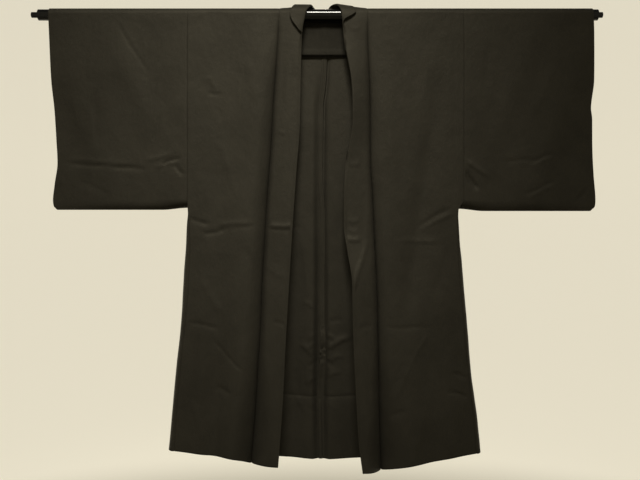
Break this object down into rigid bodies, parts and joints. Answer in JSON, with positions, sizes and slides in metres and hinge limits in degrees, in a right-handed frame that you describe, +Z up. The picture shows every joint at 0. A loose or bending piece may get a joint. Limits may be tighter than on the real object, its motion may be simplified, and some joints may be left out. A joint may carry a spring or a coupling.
{
  "type": "haori jacket on a hanging rod",
  "caption": "Open-fronted haori jacket with wide square sleeves, long band collar and side gores, hung flat on a rod that runs through both sleeves.",
  "frame": {"origin": "on the rod's axis, under the middle of the neck opening", "axes": "+Z up, front faces -Y, +X along the rod towards the wearer's left (the viewer's right)"},
  "size_m": [1.393, 0.1151, 1.1351],
  "materials": {
    "cloth": "matt black olive crepe",
    "cloth_inside": "matt black olive crepe, inner side",
    "rod": "gloss black paint"
  },
  "bodies": {
    "root": {"body_right": "cloth", "body_left": "cloth", "sleeve_right": "cloth", "sleeve_left": "cloth", "gore_right": "cloth", "gore_left": "cloth", "collar": "cloth", "shoulder_patch": "cloth_inside", "tie_loop_right": "cloth_inside", "tie_loop_left": "cloth_inside", "hanging_rod": "rod"}
  },
  "joints": []
}
